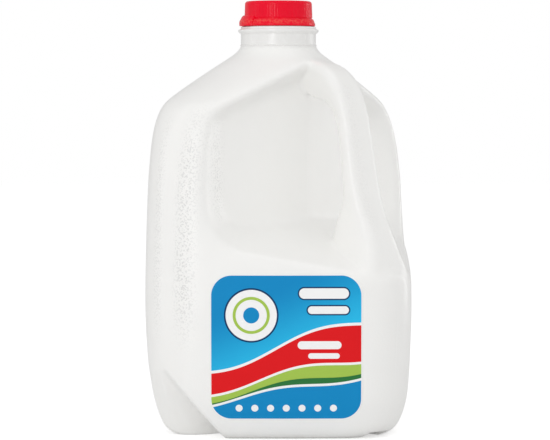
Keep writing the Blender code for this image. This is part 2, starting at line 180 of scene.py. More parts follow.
# %% Sizes of the body
HEIGHT = 0.2540
WALL = 0.0014
NECK_RADIUS = 0.0222
BODY_LEVELS = (
    (-0.0006, 0.0610, 0.0290, 0.000, 0.050),
    (0.0014, 0.0668, 0.0300, 0.000, 0.050),
    (0.0070, 0.0715, 0.0315, 0.000, 0.055),
    (0.0200, 0.0757, 0.0320, 0.000, 0.050),
    (0.0330, 0.0770, 0.0320, 0.000, 0.028),
    (0.0460, 0.0777, 0.0320, 0.000, 0.010),
    (0.0790, 0.0785, 0.0320, 0.000, 0.000),
    (0.1350, 0.0772, 0.0320, 0.000, 0.000),
    (0.1600, 0.0757, 0.0320, 0.008, 0.000),
    (0.1770, 0.0737, 0.0320, 0.030, 0.000),
    (0.1880, 0.0704, 0.0330, 0.040, 0.000),
    (0.1955, 0.0650, 0.0340, 0.055, 0.000),
    (0.2100, 0.0448, 0.0310, 0.040, 0.000),
    (0.2235, 0.0246, 0.0240, 0.000, 0.000),
    (0.2260, NECK_RADIUS, NECK_RADIUS, 0.000, 0.000),
    (0.2330, NECK_RADIUS, NECK_RADIUS, 0.000, 0.000),
)
HANDLE_BEARING = math.radians(-45.0)
DRAW_IN_NEAR = (math.radians(110.0), math.radians(55.0))
DRAW_IN_AWAY = (math.radians(80.0), math.radians(120.0))
SIDE_BULGE = 0.022
BODY_STEPS_BETWEEN = 4
BODY_SIDES = 128


# %% Draw the body
def side_distance(angle, half, corner):
    """How far a rounded square reaches from its middle at an angle."""
    c, s = abs(math.cos(angle)), abs(math.sin(angle))
    straight = half - corner
    if max(c, s) * straight >= min(c, s) * half:
        reach = half / max(c, s)
    else:
        reach = straight * (c + s) + math.sqrt(corner ** 2 - (straight * (c - s)) ** 2)
    return reach * (1.0 - SIDE_BULGE * math.sin(2 * angle) ** 2 * straight / half)


def eased(value, start, end):
    """A smooth rise from 0 at the start to 1 at the end."""
    t = min(1.0, max(0.0, (value - start) / (end - start)))
    return t * t * (3 - 2 * t)


def body_ring(z, half, corner, near, away):
    """One level of the body."""
    ring = []
    for i in range(BODY_SIDES):
        angle = 2 * math.pi * i / BODY_SIDES
        off = math.acos(math.cos(angle - HANDLE_BEARING))
        reach = side_distance(angle, half, min(corner, half))
        reach *= 1.0 - near * eased(off, *DRAW_IN_NEAR) - away * eased(off, *DRAW_IN_AWAY)
        ring.append((reach * math.cos(angle), reach * math.sin(angle), z))
    return ring


bottle = draw_rings("bottle", [body_ring(*row) for row in smooth_rows(BODY_LEVELS, BODY_STEPS_BETWEEN)])
print("body:", len(bottle.data.vertices), "points")

# %% [markdown]
# ## The two hand scoops
# Beside the handle each face is pressed in, so that a hand can close round the
# grip. A scoop has a flat slanting floor, a ledge below, a high slanting top and
# sides that open outwards, as a mould half has to come off them. A block of that
# shape is taken from the body. The second scoop is the first one's mirror image
# about the mould's parting plane.

# %% Sizes of the scoops
SCOOP_TURN = math.radians(37.0)
SCOOP_FLOOR = 0.0238
SCOOP_REACH = 0.0636
SCOOP_SIDE_DRAFT = 1.70
SCOOP_LEDGE = 0.1240
SCOOP_LEDGE_RISE = -0.08
SCOOP_LEDGE_FALL = 0.40
SCOOP_TOP = 0.2097
SCOOP_TOP_FALL = 0.38
SCOOP_TOP_RISE = 0.69
SCOOP_LOW_CORNER = 0.0200
SCOOP_LOW_CORNER_GROWTH = 0.6
SCOOP_HIGH_CORNER = 0.0060
SCOOP_DEPTH = 0.0800
SCOOP_OUTLINED_AT = 0.0200
SCOOP_PAST_MIDDLE = 0.0010
LOW_CORNER_STEPS = 6
HIGH_CORNER_STEPS = 3


# %% Cut the scoops
def mirrored(point):
    """The same point on the other side of the parting plane."""
    return Vector((-point[1], -point[0], point[2]))


def scoop_point(along, out, z):
    """A place by the scoop's floor: along it from the handle, and out of it."""
    floor_way = Vector((-math.cos(SCOOP_TURN), -math.sin(SCOOP_TURN), 0.0))
    out_way = Vector((math.sin(SCOOP_TURN), -math.cos(SCOOP_TURN), 0.0))
    corner = SCOOP_FLOOR / (math.sin(SCOOP_TURN) + math.cos(SCOOP_TURN))
    foot = Vector((corner, -corner, 0.0))
    return foot + floor_way * along + out_way * out + Vector((0.0, 0.0, z))


def rounded_corner(before, corner, after, radius, steps):
    """Points of an arc that rounds one corner of an outline."""
    before, corner, after = Vector(before), Vector(corner), Vector(after)
    back = (before - corner).normalized()
    ahead = (after - corner).normalized()
    cut = radius / math.tan(back.angle(ahead) / 2)
    start, end = corner + back * cut, corner + ahead * cut
    middle = corner + (back + ahead).normalized() * (radius / math.sin(back.angle(ahead) / 2))
    spokes = [start.lerp(end, i / steps) - middle for i in range(steps + 1)]
    return [middle + spoke.normalized() * radius for spoke in spokes]


def scoop_outline(out):
    """The scoop's outline at a distance out of its floor, as (along, height)."""
    past = -SCOOP_PAST_MIDDLE * 2 - out * math.tan(math.pi / 4 - SCOOP_TURN)
    reach = SCOOP_REACH + SCOOP_SIDE_DRAFT * out

    def ledge(along):
        return SCOOP_LEDGE + SCOOP_LEDGE_RISE * along - SCOOP_LEDGE_FALL * out

    def top(along):
        return SCOOP_TOP - SCOOP_TOP_FALL * along + SCOOP_TOP_RISE * out

    low_in, low_out = (past, ledge(past)), (reach, ledge(reach))
    high_out, high_in = (reach, top(reach)), (past, top(past))
    outline = [Vector(low_in)]
    low_corner = SCOOP_LOW_CORNER + SCOOP_LOW_CORNER_GROWTH * out
    outline += rounded_corner(low_in, low_out, high_out, low_corner, LOW_CORNER_STEPS)
    outline += rounded_corner(low_out, high_out, high_in, SCOOP_HIGH_CORNER, HIGH_CORNER_STEPS)
    outline.append(Vector(high_in))
    return outline


def scoop_form(flip):
    """The block that one scoop takes away, opening outwards."""
    rings = []
    for out in (0.0, SCOOP_OUTLINED_AT):
        points = [scoop_point(along, out, z) for along, z in scoop_outline(out)]
        rings.append([mirrored(p) for p in points] if flip else points)
    far = [near + (end - near) * (SCOOP_DEPTH / SCOOP_OUTLINED_AT) for near, end in zip(*rings)]
    return draw_rings("scoop", (rings[0], far))


for flip in (False, True):
    combine(bottle, "DIFFERENCE", scoop_form(flip))
print("body with scoops:", len(bottle.data.polygons), "faces")

# %% [markdown]
# ## Blown edges
# Blown plastic can't fill a sharp edge, so each edge of the jug is round, and the
# scoops' rims are the widest. A bevel needs clean edge loops, which a cut form
# doesn't have. A voxel remesh gives the whole form one even skin instead, and
# each pass of the Smooth modifier widens the rounding a little.

# %% Soften the rims of the scoops
COARSE_SKIN = 0.0021
RIM_PASSES = 22


def even_skin(piece, size):
    """Cover the whole form in one even skin of small squares."""
    return apply_step(piece, "REMESH", mode="VOXEL", voxel_size=size, use_smooth_shade=True)


def soften(piece, passes):
    """Round every edge of the skin, more widely with more passes."""
    return apply_step(piece, "SMOOTH", factor=0.5, iterations=passes)


even_skin(bottle, COARSE_SKIN)
soften(bottle, RIM_PASSES)
print("softened body:", len(bottle.data.polygons), "faces")

# %% [markdown]
# ## The feet of two corners
# The two corners beside the label's face are taken back at the floor by a
# slanting flat, and a three-sided notch runs up each of them. They stiffen the
# foot. Both are cut with blocks whose outlines are given by their points.

# %% Cut the slanting flats and the notches
NOTCH_TOP = (-0.0715, -0.0700, 0.0470)
NOTCH_FLOOR = (
    (-0.0700, -0.0330),
    (-0.0640, -0.0410),
    (-0.0560, -0.0450),
    (-0.0460, -0.0455),
    (-0.0360, -0.0420),
    (-0.0280, -0.0360),
    (-0.0255, -0.0820),
    (-0.0850, -0.0900),
)
NOTCH_FLOOR_Z = -0.0050
NOTCH_TIP_SHARE = 0.002
FLAT_WAY = (-0.80, -0.60)
FLAT_REACH = 0.0781
FLAT_SLOPE = 0.40
FLAT_HEIGHTS = (-0.0100, 0.0800)
FLAT_HALF_WIDTH = 0.0600
FLAT_DEPTH = 0.0500


def notch_form(flip):
    """A many-sided wedge on the floor, with its tip up the corner."""
    tip = Vector(NOTCH_TOP)
    floor = [Vector((x, y, NOTCH_FLOOR_Z)) for x, y in NOTCH_FLOOR]
    if flip:
        tip, floor = mirrored(tip), [mirrored(p) for p in floor]
    return draw_rings("notch", (floor, [tip.lerp(p, NOTCH_TIP_SHARE) for p in floor]))


def flat_form(flip):
    """What a slanting flat takes off the foot of a corner."""
    out = Vector((*FLAT_WAY, 0.0))
    along = Vector((-FLAT_WAY[1], FLAT_WAY[0], 0.0))
    low, high = FLAT_HEIGHTS
    rings = []
    for extra in (0.0, FLAT_DEPTH):
        ring = []
        for z, side in ((low, -1), (low, 1), (high, 1), (high, -1)):
            point = out * (FLAT_REACH + FLAT_SLOPE * z + extra) + along * side * FLAT_HALF_WIDTH
            point.z = z
            ring.append(mirrored(point) if flip else point)
        rings.append(ring)
    return draw_rings("flat", rings)


for flip in (False, True):
    combine(bottle, "DIFFERENCE", flat_form(flip))
    combine(bottle, "DIFFERENCE", notch_form(flip))
print("body with notches:", len(bottle.data.polygons), "faces")

# %% [markdown]
# ## The handle
# The handle is hollow and part of the same skin. It leaves the shoulder, turns
# down over the corner and runs out into the body below the scoops. Its section
# is round on the inside and squarer and wider on the outside. A curve with a
# bevel would keep one section, so the rings are drawn along a path in the parting
# plane instead. Each row of the path is its reach from the axis, its height, the
# section's half depth, and its half width on its inner and on its outer side.

# %% Sizes of the handle
HANDLE_PATH = (
    (0.0180, 0.2140, 0.0085, 0.0050, 0.0072),
    (0.0335, 0.2074, 0.0114, 0.0045, 0.0088),
    (0.0430, 0.2049, 0.0108, 0.0050, 0.0112),
    (0.0502, 0.1994, 0.0096, 0.0062, 0.0124),
    (0.0562, 0.1905, 0.0078, 0.0068, 0.0126),
    (0.0607, 0.1770, 0.0067, 0.0080, 0.0122),
    (0.0648, 0.1540, 0.0069, 0.0092, 0.0127),
    (0.0668, 0.1370, 0.0092, 0.0084, 0.0131),
    (0.0670, 0.1205, 0.0166, 0.0104, 0.0131),
    (0.0690, 0.1030, 0.0205, 0.0135, 0.0165),
    (0.0720, 0.0860, 0.0212, 0.0160, 0.0225),
    (0.0690, 0.0700, 0.0190, 0.0144, 0.0216),
)
HANDLE_STEPS_BETWEEN = 3
HANDLE_SIDES = 32
HANDLE_SQUARENESS_OUTSIDE = 5.0
HANDLE_SQUARENESS_INSIDE = 2.4


# %% Draw the handle and join it on
def handle_rings():
    """Rounded rings along the handle's path."""
    out_way = Vector((math.sqrt(0.5), -math.sqrt(0.5), 0.0))
    side_way = Vector((math.sqrt(0.5), math.sqrt(0.5), 0.0))
    rows = smooth_rows(HANDLE_PATH, HANDLE_STEPS_BETWEEN)
    middles = [out_way * reach + Vector((0.0, 0.0, z)) for reach, z, _, _, _ in rows]
    rings = []
    for i, (_, _, depth, inner, outer) in enumerate(rows):
        ahead = middles[min(i + 1, len(rows) - 1)] - middles[max(i - 1, 0)]
        depth_way = ahead.normalized().cross(side_way)
        ring = []
        for k in range(HANDLE_SIDES):
            angle = 2 * math.pi * k / HANDLE_SIDES
            c, s = math.cos(angle), math.sin(angle)
            power = HANDLE_SQUARENESS_OUTSIDE if c > 0 else HANDLE_SQUARENESS_INSIDE
            scale = (abs(c) ** power + abs(s) ** power) ** (-1 / power)
            width = (inner + outer + (outer - inner) * c) / 2
            ring.append(middles[i] + (depth_way * depth * c + side_way * width * s) * scale)
        rings.append(ring)
    return rings


combine(bottle, "UNION", draw_rings("handle", handle_rings()))
print("body with handle:", len(bottle.data.polygons), "faces")

# %% [markdown]
# ## The finished outer form
# The last edges are round too, but much less than the scoops' rims. A finer skin
# keeps the notch and the handle crisp.

# %% Soften the last edges
FINE_SKIN = 0.00155
EDGE_PASSES = 7

even_skin(bottle, FINE_SKIN)
soften(bottle, EDGE_PASSES)
print("outer form:", len(bottle.data.polygons), "faces")

# %% [markdown]
# ## The soft crease on two corners
# Where the wall cooled, a shallow upright crease draws in beside each scoop. It is
# half a millimetre deep, too fine for a cutting block. So the skin's own points
# are moved in, the more the nearer they are to the crease's middle line. Only the
# two corners where x and y have one sign are touched, and a point's y less its x
# says how far across the corner it lies.

# %% Draw in the creases, then copy the form
CREASE_MIDDLE = -0.0105
CREASE_HALF_WIDTH = 0.0060
CREASE_DEPTH = 0.0005
CREASE_HEIGHTS = (0.045, 0.085, 0.180, 0.200)
CREASE_CORNER = 0.0030


def draw_in_creases(piece):
    """Move the skin's points in along the creases."""
    take_up(piece)
    bpy.ops.object.mode_set(mode="EDIT")
    points = bmesh.from_edit_mesh(piece.data)
    low, low_full, high_full, high = CREASE_HEIGHTS
    moved = 0
    for vert in points.verts:
        x, y, z = vert.co
        if x * y < CREASE_CORNER:
            continue
        depth = CREASE_DEPTH * eased(z, low, low_full) * (1.0 - eased(z, high_full, high))
        depth *= 1.0 - eased(abs(y - x - CREASE_MIDDLE), 0.0, CREASE_HALF_WIDTH)
        if depth > 0.0:
            vert.co -= Vector((x, y, 0.0)).normalized() * depth
            moved += 1
    bmesh.update_edit_mesh(piece.data)
    bpy.ops.object.mode_set(mode="OBJECT")
    return moved


print("points moved for the creases:", draw_in_creases(bottle))
hollow = same_again(bottle, "hollow")
milk = same_again(bottle, "milk_piece")

# %% [markdown]
# ## The foot
# The jug stands on a flat rim. Inside it the floor is pushed up a little, and a
# shallow channel runs along the parting line, where the mould halves pinch the
# tube shut. A bisect with its cut filled makes the flat floor.

# %% Cut the floor, the push-up and the channel
PUSH_UP_HALF = 0.0400
PUSH_UP_DEPTH = 0.0030
PUSH_UP_CORNER = 0.0160
PUSH_UP_FLARE = ((-0.0100, 0.0060), (0.0, 0.0040), (PUSH_UP_DEPTH, 0.0))
PUSH_UP_SIDES = 64
CHANNEL_WIDTH = 0.0160
CHANNEL_REACH = 0.1100
CHANNEL_HEIGHTS = (-0.0200, 0.0035)
CUT_THRESHOLD = 1e-6


def cut_level(piece, height, keep_above):
    """Cut a piece flat at a height, close the cut and keep one side of it."""
    take_up(piece)
    bpy.ops.object.mode_set(mode="EDIT")
    bpy.ops.mesh.select_all(action="SELECT")
    bpy.ops.mesh.bisect(
        plane_co=(0.0, 0.0, height),
        plane_no=(0.0, 0.0, 1.0),
        use_fill=True,
        threshold=CUT_THRESHOLD,
        clear_inner=keep_above,
        clear_outer=not keep_above,
    )
    bpy.ops.object.mode_set(mode="OBJECT")
    return piece


def push_up_form():
    """The shallow dish under the bottle, with sloping sides."""
    rings = []
    for z, flare in PUSH_UP_FLARE:
        ring = []
        for i in range(PUSH_UP_SIDES):
            angle = 2 * math.pi * i / PUSH_UP_SIDES
            reach = side_distance(angle, PUSH_UP_HALF + flare, PUSH_UP_CORNER)
            ring.append((reach * math.cos(angle), reach * math.sin(angle), z))
        rings.append(ring)
    return draw_rings("push_up", rings)


def channel_form():
    """A flat bar along the parting line."""
    c, s = math.cos(HANDLE_BEARING), math.sin(HANDLE_BEARING)
    corners = ((-1, -1), (1, -1), (1, 1), (-1, 1))
    outline = [(CHANNEL_REACH * a, CHANNEL_WIDTH / 2 * b) for a, b in corners]
    return draw_rings("channel", [[(x * c - y * s, x * s + y * c, z) for x, y in outline]
                                  for z in CHANNEL_HEIGHTS])


cut_level(bottle, 0.0, keep_above=True)
combine(bottle, "DIFFERENCE", channel_form())
combine(bottle, "DIFFERENCE", push_up_form())
print("bottle with its foot:", len(bottle.data.polygons), "faces")

# %% [markdown]
# ## The neck
# The neck is the one part that is pressed to an exact shape: a thin ring at its
# foot, a column, a bead and a collar under the cap, and the plain mouth above. It
# is turned from a profile and joined to the skin.

# %% Join the neck, then hollow the bottle
NECK_SKIN = 0.0002
NECK_BURIED = 0.2200
NECK_RING = (0.2268, 0.2276, 0.2282)
NECK_RING_OUT = 0.0006
NECK_SIDES = 128
BEAD_RADIUS = 0.0240
BEAD_LOW = 0.2351
BEAD_HIGH = 0.2376
BEAD_EDGE = 0.0007
COLLAR_RADIUS = 0.0225
COLLAR_HIGH = 0.2387
COLLAR_EDGE = 0.0003
FINISH_RADIUS = 0.0190
FINISH_TOP = 0.2515
BORE_RADIUS = 0.0172
BORE_LOW = 0.2240
BORE_HIGH = 0.2600
FLOOR_EXTRA = 0.0008
INNER_FLOOR = PUSH_UP_DEPTH + WALL + FLOOR_EXTRA
INSIDE_SKIN = 0.0028
SMOOTH_BELOW = math.radians(40.0)


def neck_profile():
    """The neck's outer line from its foot up, as (radius, height)."""
    column = NECK_RADIUS + NECK_SKIN
    ring_low, ring_middle, ring_high = NECK_RING
    return [
        (NECK_RADIUS - WALL / 2, NECK_BURIED),
        (column, ring_low),
        (column + NECK_RING_OUT, ring_middle),
        (column, ring_high),
        (column, BEAD_LOW - BEAD_EDGE),
        (BEAD_RADIUS - BEAD_EDGE, BEAD_LOW),
        (BEAD_RADIUS, BEAD_LOW + BEAD_EDGE),
        (BEAD_RADIUS, BEAD_HIGH - BEAD_EDGE),
        (COLLAR_RADIUS + COLLAR_EDGE, BEAD_HIGH - COLLAR_EDGE),
        (COLLAR_RADIUS, BEAD_HIGH),
        (COLLAR_RADIUS, COLLAR_HIGH - COLLAR_EDGE),
        (COLLAR_RADIUS - COLLAR_EDGE, COLLAR_HIGH),
        (FINISH_RADIUS, COLLAR_HIGH),
        (FINISH_RADIUS, FINISH_TOP - BEAD_EDGE),
        (FINISH_RADIUS - BEAD_EDGE, FINISH_TOP),
    ]


def draw_inwards(piece, distance):
    """Move a skin in by a distance, and give it an even skin again."""
    apply_step(piece, "DISPLACE", direction="NORMAL", mid_level=0.0, strength=-distance)
    return even_skin(piece, INSIDE_SKIN)


combine(bottle, "UNION", draw_rings("neck", round_rings(neck_profile(), NECK_SIDES)))
draw_inwards(hollow, WALL)
cut_level(hollow, INNER_FLOOR, keep_above=True)
combine(bottle, "DIFFERENCE", hollow)
bore = ((BORE_RADIUS, BORE_LOW), (BORE_RADIUS, BORE_HIGH))
combine(bottle, "DIFFERENCE", draw_rings("bore", round_rings(bore, NECK_SIDES)))
take_up(bottle)
bpy.ops.object.shade_smooth_by_angle(angle=SMOOTH_BELOW)
print("bottle:", sum(len(p.vertices) - 2 for p in bottle.data.polygons), "triangles")

# %% [markdown]
# ## The milk
# The jug is full to the foot of the neck. The milk is the same form, drawn in by
# the wall and a hair more, and cut flat at its level and at the floor.

# %% Shape the milk
MILK_LEVEL = 0.2262
MILK_GAP = 0.0004
FLOOR_GAP = 0.0003

draw_inwards(milk, WALL + MILK_GAP)
cut_level(milk, INNER_FLOOR + FLOOR_GAP, keep_above=True)
cut_level(milk, MILK_LEVEL, keep_above=False)
take_up(milk)
bpy.ops.object.shade_smooth_by_angle(angle=SMOOTH_BELOW)
print("milk:", [round(side, 4) for side in milk.dimensions])

# %% [markdown]
# ## The cap
# The cap is moulded in one shot: a drum with fine ribs for grip, and below a
# thin line the flared band that is torn off to open it. The rings run from the
# middle of the top, down the outside and back up the inside.

# %% Sizes of the cap
CAP_RADIUS = 0.0203
CAP_DRAFT = 0.0003
CAP_EDGE = 0.0018
CAP_EDGE_STEPS = 6
CAP_BREAK = 0.0104
CAP_HEIGHT = 0.0150
CAP_INSIDE = 0.0194
CAP_CEILING = 0.0020
CAP_MIDDLE = 0.0020
CAP_DISH = (0.0140, 0.0146)
CAP_DISH_DEPTH = 0.0003
CAP_RIB_START = 0.0004
CAP_SMOOTH_BELOW = math.radians(32.0)
CAP_RIBS = 72
CAP_RIB_DEPTH = 0.00012
BAND_RADIUS = 0.0220
BAND_STEP = (0.0007, 0.0007)
BAND_RIM = 0.0014
BAND_THICK = 0.0010
BAND_BOTTOM = HEIGHT - CAP_HEIGHT
BAND_TOP = HEIGHT - CAP_BREAK
GROOVE = 0.0003
POINTS_PER_RIB = 4


# %% Draw the cap
def cap_profile():
    """(radius, height, share of the ribs) rows, from the top down and back up inside."""
    rows = [
        (CAP_MIDDLE, HEIGHT - CAP_DISH_DEPTH, 0.0),
        (CAP_DISH[0], HEIGHT - CAP_DISH_DEPTH, 0.0),
        (CAP_DISH[1], HEIGHT, 0.0),
    ]
    for i in range(CAP_EDGE_STEPS + 1):
        angle = math.pi / 2 * (1 - i / CAP_EDGE_STEPS)
        rows.append((CAP_RADIUS - CAP_DRAFT - CAP_EDGE + CAP_EDGE * math.cos(angle),
                     HEIGHT - CAP_EDGE + CAP_EDGE * math.sin(angle), 0.0))
    rows += [
        (CAP_RADIUS - CAP_DRAFT, HEIGHT - CAP_EDGE - CAP_RIB_START, 1.0),
        (CAP_RADIUS, BAND_TOP + 2 * GROOVE, 1.0),
        (CAP_RADIUS - GROOVE, BAND_TOP + GROOVE, 0.0),
        (CAP_RADIUS - GROOVE, BAND_TOP, 0.0),
        (CAP_RADIUS + BAND_STEP[0] - GROOVE, BAND_TOP - BAND_STEP[1] + GROOVE, 0.0),
        (CAP_RADIUS + BAND_STEP[0], BAND_TOP - BAND_STEP[1], 0.0),
        (BAND_RADIUS, BAND_BOTTOM + BAND_RIM, 0.0),
        (BAND_RADIUS, BAND_BOTTOM + GROOVE, 0.0),
        (BAND_RADIUS - GROOVE, BAND_BOTTOM, 0.0),
        (BAND_RADIUS - BAND_THICK, BAND_BOTTOM, 0.0),
        (BAND_RADIUS - BAND_THICK, BAND_BOTTOM + BAND_RIM, 0.0),
        (CAP_INSIDE, BAND_TOP - BAND_THICK, 0.0),
        (CAP_INSIDE, HEIGHT - CAP_CEILING, 0.0),
        (CAP_MIDDLE, HEIGHT - CAP_CEILING, 0.0),
    ]
    return rows


def cap_rings():
    """The cap's rings, with ribs where the profile asks for them."""
    sides = CAP_RIBS * POINTS_PER_RIB
    rings = []
    for radius, z, ribbed in cap_profile():
        ring = []
        for i in range(sides):
            angle = 2 * math.pi * i / sides
            rib = 0.5 + 0.5 * math.cos(CAP_RIBS * angle)
            reach = radius - ribbed * CAP_RIB_DEPTH * (1.0 - rib)
            ring.append((reach * math.cos(angle), reach * math.sin(angle), z))
        rings.append(ring)
    return rings


cap = draw_rings("cap_piece", cap_rings())
print("cap:", len(cap.data.polygons), "faces")

# %% [markdown]
# ## The pull tab
# A thicker stretch of the band, at the left, is what a finger pulls first. It is
# drawn as a short run of rings round the cap's axis, and joined to the band.

# %% Draw the pull tab and join it on
TAB_TURN = math.radians(203.0)
TAB_SPREAD = math.radians(46.0)
TAB_HEIGHT = 0.0064
TAB_UPRIGHT = 0.0026
TAB_LIFT = 0.0001
TAB_THICK = 0.0016
TAB_STEPS = 16
TAB_ENDS = {0: 0.2, 1: 0.72, 2: 0.94}


def tab_rings():
    """Sections of the tab along the band, thinner at both ends."""
    foot, head = BAND_BOTTOM + TAB_LIFT, BAND_BOTTOM + TAB_HEIGHT
    in_drum = CAP_RADIUS - BAND_THICK / 2
    rings = []
    for i in range(TAB_STEPS + 1):
        angle = TAB_TURN + TAB_SPREAD * (i / TAB_STEPS - 0.5)
        full = TAB_ENDS.get(min(i, TAB_STEPS - i), 1.0)
        outer = BAND_RADIUS + TAB_THICK * full
        profile = (
            (BAND_RADIUS - BAND_THICK / 4, foot),
            (outer - GROOVE, foot),
            (outer, foot + GROOVE),
            (outer, foot + TAB_UPRIGHT),
            (outer - TAB_THICK, head - BAND_STEP[1]),
            (outer - TAB_THICK - BAND_STEP[0], head),
            (in_drum, head),
            (in_drum, BAND_TOP - BAND_STEP[1]),
        )
        rings.append([(radius * math.cos(angle), radius * math.sin(angle), z) for radius, z in profile])
    return rings


combine(cap, "UNION", draw_rings("tab", tab_rings()))
take_up(cap)
bpy.ops.object.shade_smooth_by_angle(angle=CAP_SMOOTH_BELOW)
print("cap with its tab:", [round(side, 4) for side in cap.dimensions])

# %% [markdown]
# ## The label
# A printed film with round corners lies on the front face and follows its crown.
# A grid is added, its rows are drawn in at the corners, and Shrinkwrap lays it on
# the bottle before Solidify gives it its thickness.

# %% Sizes of the label
LABEL_WIDTH = 0.0866
LABEL_HEIGHT = 0.0834
LABEL_CORNER = 0.0120
LABEL_MIDDLE = (0.0045, 0.0542)
LABEL_THICK = 0.0002
LABEL_LIFT = 0.00015
LABEL_COLUMNS = 64
LABEL_ROWS = 64
FAR = 0.1000


# %% Lay the label on the face
def add_label():
    """A rounded sheet in front of the face, then laid on it."""
    put_down_all()
    bpy.ops.mesh.primitive_grid_add(x_subdivisions=LABEL_COLUMNS, y_subdivisions=LABEL_ROWS, size=2.0)
    sheet = bpy.context.object
    sheet.name = "label_piece"
    bpy.ops.object.mode_set(mode="EDIT")
    points = bmesh.from_edit_mesh(sheet.data)
    half_width, half_height = LABEL_WIDTH / 2, LABEL_HEIGHT / 2
    for vert in points.verts:
        across, up = vert.co.x, math.sin(vert.co.y * math.pi / 2) * half_height
        into_corner = max(0.0, abs(up) - (half_height - LABEL_CORNER))
        reach = half_width - LABEL_CORNER + math.sqrt(max(0.0, LABEL_CORNER ** 2 - into_corner ** 2))
        vert.co = (LABEL_MIDDLE[0] + across * reach, -FAR, LABEL_MIDDLE[1] + up)
    bmesh.update_edit_mesh(sheet.data)
    bpy.ops.mesh.select_all(action="SELECT")
    bpy.ops.mesh.normals_make_consistent(inside=False)
    bpy.ops.object.mode_set(mode="OBJECT")
    apply_step(sheet, "SHRINKWRAP", target=bottle, wrap_method="PROJECT", use_project_y=True,
               use_positive_direction=True, use_negative_direction=False, offset=LABEL_LIFT,
               wrap_mode="ABOVE_SURFACE")
    apply_step(sheet, "SOLIDIFY", thickness=LABEL_THICK, offset=1.0)
    bpy.ops.object.shade_smooth_by_angle(angle=SMOOTH_BELOW)
    return sheet


label = add_label()
print("label:", [round(side, 4) for side in label.dimensions])

# %% [markdown]
# ## Small helpers for materials
# A material is a chain of nodes. These helpers add a node and feed its sockets,
# so that each finish below reads as a few plain lines.


# %% Node helpers
def feed(tree, socket, value):
    """Link an output to a socket, or set the socket to a number or a colour."""
    if isinstance(value, bpy.types.NodeSocket):
        tree.links.new(value, socket)
    elif value is not None:
        socket.default_value = value


def add_node(tree, kind, inputs=(), **settings):
    """Add a node, set its options and feed its inputs by name or number."""
    made = tree.nodes.new(kind)
    for name, value in settings.items():
        setattr(made, name, value)
    for name, value in dict(inputs).items():
        feed(tree, made.inputs[name], value)
    return made


def work_out(tree, operation, first, second=None, third=None):
    """One Math node."""
    return add_node(tree, "ShaderNodeMath", {0: first, 1: second, 2: third}, operation=operation).outputs[0]


def rise(tree, value, start, end):
    """0 up to the start, 1 past the end, and a smooth rise between them."""
    inputs = {0: value, 1: start, 2: end, 3: 0.0, 4: 1.0}
    return add_node(tree, "ShaderNodeMapRange", inputs, interpolation_type="SMOOTHSTEP").outputs[0]


def times(tree, first, second):
    """The product of two values."""
    return work_out(tree, "MULTIPLY", first, second)


def minus(tree, first, second):
    """The first value less the second."""
    return work_out(tree, "SUBTRACT", first, second)


def strip(tree, value, middle, half):
    """A mask that is 1 in the middle of a strip and 0 past its edges."""
    off = work_out(tree, "ABSOLUTE", minus(tree, value, middle))
    return rise(tree, off, half, 0.0)


def mix_numbers(tree, share, first, second):
    """Two numbers mixed by a share."""
    inputs = {0: share, 2: first, 3: second}
    return add_node(tree, "ShaderNodeMix", inputs, data_type="FLOAT").outputs[0]


def mix_colours(tree, share, first, second):
    """Two colours mixed by a share."""
    inputs = {0: share, 6: first, 7: second}
    return add_node(tree, "ShaderNodeMix", inputs, data_type="RGBA").outputs[2]


def cloudy(tree, place, scale, detail):
    """A noise pattern about 0.5."""
    inputs = {"Vector": place, "Scale": scale, "Detail": detail}
    return add_node(tree, "ShaderNodeTexNoise", inputs).outputs[0]


def object_place(tree):
    """Where a point is on the piece, in metres."""
    return add_node(tree, "ShaderNodeTexCoord").outputs["Object"]


def vary_roughness(tree, shader, pattern, low, high):
    """Let a pattern move the roughness between two values."""
    rough = add_node(tree, "ShaderNodeMapRange", {0: pattern, 3: low, 4: high})
    feed(tree, shader.inputs["Roughness"], rough.outputs[0])


def add_bump(tree, shader, height, distance=1.0, strength=1.0):
    """Bump the surface by a height."""
    inputs = {"Height": height, "Distance": distance, "Strength": strength}
    feed(tree, shader.inputs["Normal"], add_node(tree, "ShaderNodeBump", inputs).outputs[0])


def set_up(tree, shader, values):
    """Feed several of a shader's sockets by name."""
    for name, value in values.items():
        feed(tree, shader.inputs[name], value)


def new_finish(name):
    """An empty material with its Principled shader."""
    made = bpy.data.materials.new(name)
    made.use_nodes = True
    return made, made.node_tree, made.node_tree.nodes["Principled BSDF"]


def new_group(name, inputs, outputs):
    """An empty node group with named number inputs and outputs."""
    group = bpy.data.node_groups.new(name, "ShaderNodeTree")
    for label_text, kind, start in inputs:
        socket = group.interface.new_socket(name=label_text, in_out="INPUT", socket_type=kind)
        if start is not None:
            socket.default_value = start
    for label_text, kind in outputs:
        group.interface.new_socket(name=label_text, in_out="OUTPUT", socket_type=kind)
    return group, group.nodes.new("NodeGroupInput"), group.nodes.new("NodeGroupOutput")


def place_group(tree, group, inputs):
    """Place a node group and feed its inputs."""
    return add_node(tree, "ShaderNodeGroup", inputs, node_tree=group)


# %% [markdown]
# ## Moulded grain, used by every plastic piece
# Plastic out of a mould is never a mirror. It has a fine grain from the mould's
# blasted steel, and longer, softer waves where the skin cooled unevenly.

# %% Build the grain group
FLOAT = "NodeSocketFloat"
VECTOR = "NodeSocketVector"
FLECK_RANGE = (0.40, 0.60)

